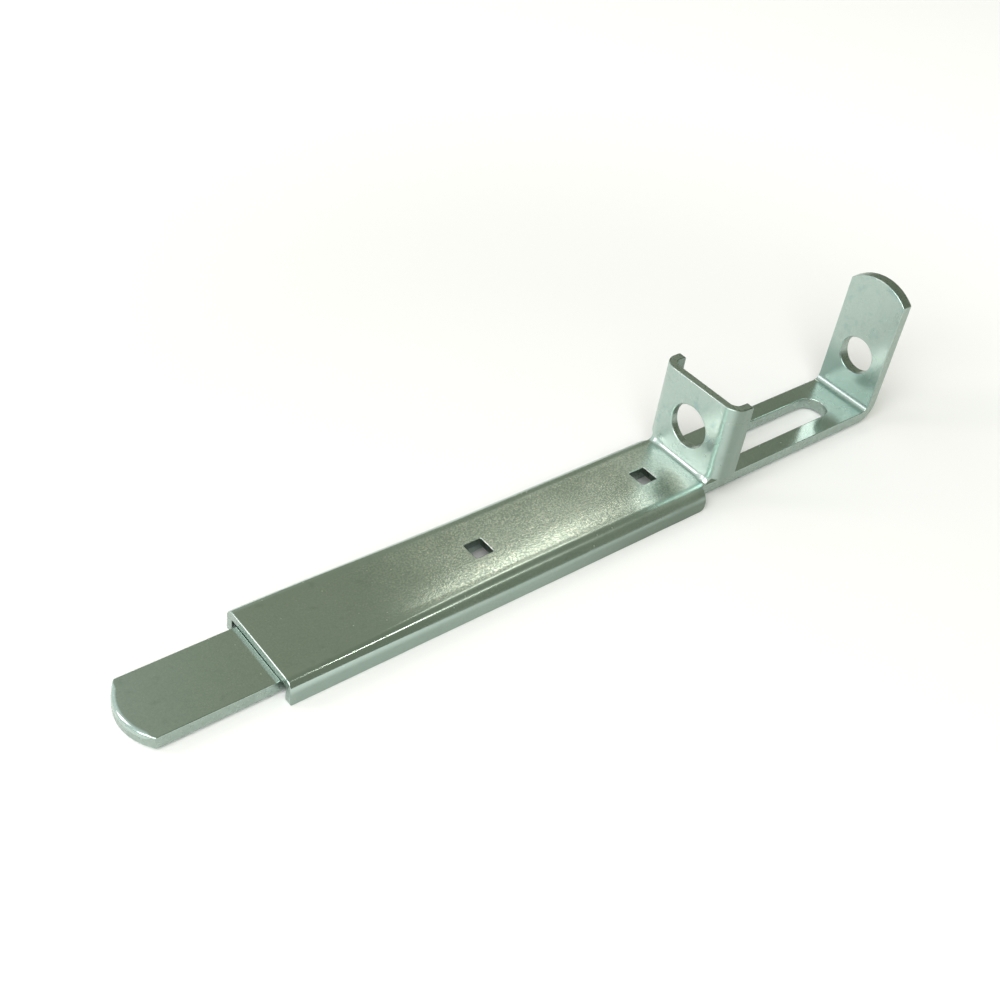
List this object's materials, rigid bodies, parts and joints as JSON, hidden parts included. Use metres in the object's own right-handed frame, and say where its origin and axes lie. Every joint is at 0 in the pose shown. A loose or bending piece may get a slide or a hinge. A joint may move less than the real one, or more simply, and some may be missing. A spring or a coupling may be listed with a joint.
{
  "type": "flat-bar slide bolt",
  "caption": "Flat steel bar that slides in a bent-sheet housing bolted to a gate, with padlock holes in upturned tabs on both.",
  "frame": {"origin": "on the mounting surface, under the middle of the whole part's length and width at rest", "axes": "+X along the bar from its nose to its tab, +Z away from the mounting surface, Y across the bar"},
  "size_m": [0.308, 0.036, 0.057],
  "materials": {
    "housing_zinc": "clear zinc-plated sheet steel, slightly greenish, semi-bright with soft pressing marks",
    "bar_zinc": "clear zinc-plated flat steel bar, slightly greenish, semi-bright with fine specks"
  },
  "bodies": {
    "housing": {"housing": "housing_zinc", "housing_flange_left": "housing_zinc", "housing_flange_right": "housing_zinc"},
    "bolt_bar": {"bolt_bar": "bar_zinc"}
  },
  "joints": [
    {"name": "bar_slide", "type": "slide", "parent": "housing", "child": "bolt_bar", "axis": [-1, 0, 0], "range_m": [-0.045, 0.0872]}
  ]
}
